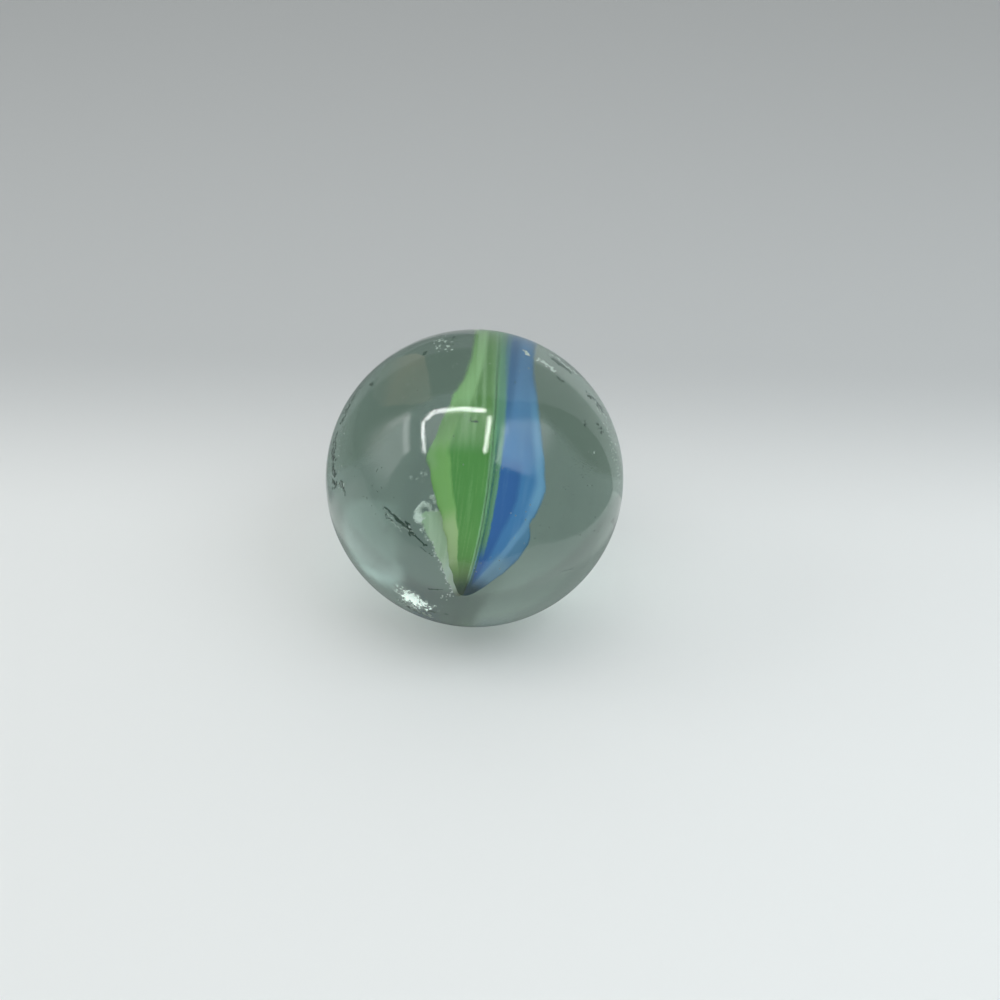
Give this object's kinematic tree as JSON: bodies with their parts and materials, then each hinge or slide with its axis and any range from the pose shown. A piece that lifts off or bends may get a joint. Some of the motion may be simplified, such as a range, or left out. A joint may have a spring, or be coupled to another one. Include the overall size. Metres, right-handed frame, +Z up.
{
  "type": "glass marble",
  "caption": "Clear, faintly green glass ball with green, blue and white blades of coloured glass fused inside, running from pole to pole.",
  "frame": {"origin": "centre of the ball", "axes": "+Z up and -Y toward the viewer, as the marble lies; the pole line of the blades runs near the Y axis, dipping 9.5 degrees toward -Y and turned 2.5 degrees about the vertical"},
  "size_m": [0.016, 0.016, 0.016],
  "materials": {
    "clear_glass": "polished clear glass with a pale grey-green tint, worn with fine scratches and small chips",
    "green_glass": "opaque leaf-green glass with fine lengthwise streaks, fused inside the ball",
    "blue_glass": "opaque blue glass, lighter past its crease, fused inside the ball",
    "white_glass": "milky white glass with a bubbly torn end, fused inside the ball"
  },
  "bodies": {
    "root": {"clear_glass": "clear_glass", "green_vane": "green_glass", "blue_vane": "blue_glass", "white_vane": "white_glass"}
  },
  "joints": []
}
